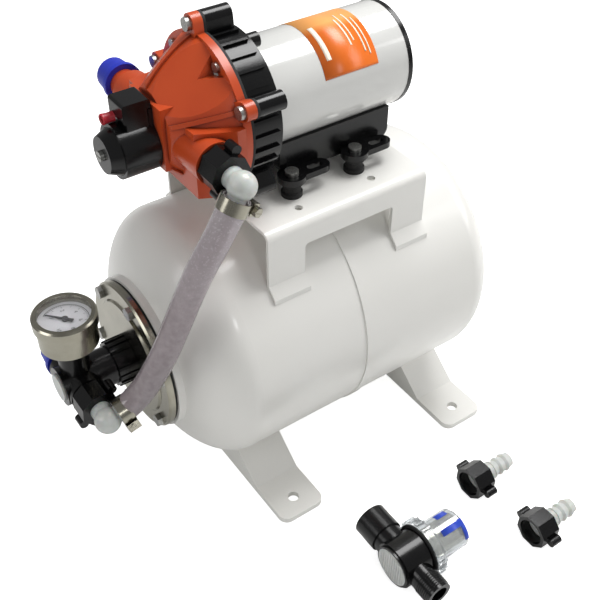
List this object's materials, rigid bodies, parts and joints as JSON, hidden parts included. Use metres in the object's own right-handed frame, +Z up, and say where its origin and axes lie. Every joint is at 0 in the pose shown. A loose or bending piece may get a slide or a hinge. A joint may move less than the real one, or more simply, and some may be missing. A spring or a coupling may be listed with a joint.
{
  "type": "caravan water pump",
  "caption": "Diaphragm water pump on a sheet metal platform over a small pressure tank with saddle feet, joined by a short hose and a gauge fitting.",
  "frame": {"origin": "on the floor, in the middle of the four foot holes", "axes": "+X along the tank from its flange to its air valve, +Y away from the side with the hose, +Z up"},
  "size_m": [0.3777, 0.3699, 0.3764],
  "materials": {
    "white_enamel": "gloss white enamel",
    "motor_enamel": "gloss white paint",
    "bright_steel": "polished stainless steel",
    "zinc_steel": "zinc plated steel",
    "black_nylon": "moulded glass filled nylon",
    "orange_plastic": "moulded orange plastic",
    "blue_plastic": "soft blue plastic",
    "black_rubber": "moulded rubber",
    "bladder_rubber": "smooth rubber",
    "clear_plastic": "clear plastic",
    "clear_hose": "clear reinforced PVC",
    "brass": "turned brass",
    "pale_plastic": "natural nylon",
    "dial_white": "printed white dial",
    "needle_black": "matt black",
    "ferrite": "sintered grey",
    "copper_winding": "lacquered copper and laminations"
  },
  "bodies": {
    "root": {"tank_front_shell": "white_enamel", "tank_rear_shell": "white_enamel", "bladder": "bladder_rubber", "front_foot": "white_enamel", "rear_foot": "white_enamel", "platform": "white_enamel", "flange": "bright_steel", "flange_bolts": "zinc_steel", "air_valve_body": "brass", "coupling_washer": "black_rubber", "cross_fitting": "black_nylon", "end_plug": "pale_plastic", "gauge_socket": "brass", "gauge_case": "bright_steel", "gauge_bezel": "bright_steel", "gauge_lens": "clear_plastic", "gauge_dial": "dial_white", "lower_elbow": "pale_plastic", "upper_elbow": "pale_plastic", "hose": "clear_hose", "lower_clamp_band": "bright_steel", "upper_clamp_band": "bright_steel", "pump_head": "orange_plastic", "pump_screws": "zinc_steel", "drive_housing": "black_nylon", "diaphragm": "black_rubber", "valve_plate": "pale_plastic", "chamber_valves": "black_rubber", "wobble_plate": "pale_plastic", "bearings": "bright_steel", "motor_can": "motor_enamel", "magnets": "ferrite", "rear_end_bell": "black_nylon", "brushes": "ferrite", "motor_base": "black_nylon", "rubber_feet": "black_rubber", "base_screws": "zinc_steel", "switch_housing": "black_nylon", "switch_block": "black_nylon"},
    "gauge_pointer": {"gauge_needle": "needle_black"},
    "coupling": {"coupling_nut": "black_nylon"},
    "lower_nut": {"lower_wing_nut": "black_nylon"},
    "upper_nut": {"upper_wing_nut": "black_nylon"},
    "outlet_plug": {"outlet_cap": "blue_plastic"},
    "inlet_plug": {"inlet_cap": "blue_plastic"},
    "valve_dust_cap": {"air_valve_cap": "black_nylon"},
    "valve_pin": {"air_valve_pin": "brass"},
    "rotor": {"armature": "copper_winding", "motor_shaft": "bright_steel", "cam": "bright_steel"},
    "lower_clamp_worm": {"lower_clamp_screw": "bright_steel"},
    "upper_clamp_worm": {"upper_clamp_screw": "bright_steel"},
    "switch_adjuster": {"adjusting_screw": "zinc_steel"},
    "strainer": {"strainer_body": "black_nylon", "strainer_screen": "bright_steel"},
    "bowl": {"strainer_bowl": "clear_plastic"},
    "spare_1": {"spare_barb_1": "pale_plastic"},
    "spare_nut_1": {"spare_wing_nut_1": "black_nylon"},
    "spare_2": {"spare_barb_2": "pale_plastic"},
    "spare_nut_2": {"spare_wing_nut_2": "black_nylon"}
  },
  "joints": [
    {"name": "gauge_pointer_turn", "type": "hinge", "parent": "root", "child": "gauge_pointer", "pos_m": [-0.208, 0, 0.19], "axis": [0, 0, -1], "range_deg": [0, 270], "stiffness_Nm_per_rad": 0.00002},
    {"name": "coupling_turn", "type": "hinge", "parent": "root", "child": "coupling", "pos_m": [-0.174, 0, 0.13], "axis": [1, 0, 0], "continuous": true},
    {"name": "lower_nut_turn", "type": "hinge", "parent": "root", "child": "lower_nut", "pos_m": [-0.208, -0.028, 0.13], "axis": [0, 1, 0], "continuous": true},
    {"name": "upper_nut_turn", "type": "hinge", "parent": "root", "child": "upper_nut", "pos_m": [-0.112, -0.062, 0.308], "axis": [0, 1, 0], "continuous": true},
    {"name": "outlet_cap_pull", "type": "slide", "parent": "root", "child": "outlet_plug", "axis": [0, 1, 0], "range_m": [0, 0.03]},
    {"name": "inlet_cap_pull", "type": "slide", "parent": "root", "child": "inlet_plug", "axis": [0, 1, 0], "range_m": [0, 0.03]},
    {"name": "valve_cap_pull", "type": "slide", "parent": "root", "child": "valve_dust_cap", "axis": [1, 0, 0], "range_m": [0, 0.025]},
    {"name": "valve_pin_press", "type": "slide", "parent": "root", "child": "valve_pin", "axis": [-1, 0, 0], "range_m": [0, 0.0015], "stiffness_N_per_m": 400},
    {"name": "rotor_spin", "type": "hinge", "parent": "root", "child": "rotor", "pos_m": [0, 0, 0.312], "axis": [1, 0, 0], "continuous": true},
    {"name": "lower_clamp_turn", "type": "hinge", "parent": "root", "child": "lower_clamp_worm", "pos_m": [-0.19348, -0.05676, 0.12349], "axis": [0.1562, 0.7659, -0.6237], "continuous": true},
    {"name": "upper_clamp_turn", "type": "hinge", "parent": "root", "child": "upper_clamp_worm", "pos_m": [-0.10723, -0.08077, 0.29086], "axis": [0.151, -0.9848, -0.0864], "continuous": true},
    {"name": "adjuster_turn", "type": "hinge", "parent": "root", "child": "switch_adjuster", "pos_m": [-0.16, 0, 0.304], "axis": [1, 0, 0], "continuous": true},
    {"name": "strainer_lift", "type": "slide", "parent": "root", "child": "strainer", "axis": [0, 0, 1], "range_m": [0, 0.05]},
    {"name": "bowl_pull", "type": "slide", "parent": "strainer", "child": "bowl", "axis": [1, 0, 0], "range_m": [0, 0.04]},
    {"name": "spare_1_lift", "type": "slide", "parent": "root", "child": "spare_1", "axis": [0, 0, 1], "range_m": [0, 0.05]},
    {"name": "spare_nut_1_turn", "type": "hinge", "parent": "spare_1", "child": "spare_nut_1", "pos_m": [0.042, -0.174, 0.01293], "axis": [1, 0, 0], "continuous": true},
    {"name": "spare_2_lift", "type": "slide", "parent": "root", "child": "spare_2", "axis": [0, 0, 1], "range_m": [0, 0.05]},
    {"name": "spare_nut_2_turn", "type": "hinge", "parent": "spare_2", "child": "spare_nut_2", "pos_m": [0.05, -0.2356, 0.01293], "axis": [1, 0, 0], "continuous": true}
  ]
}
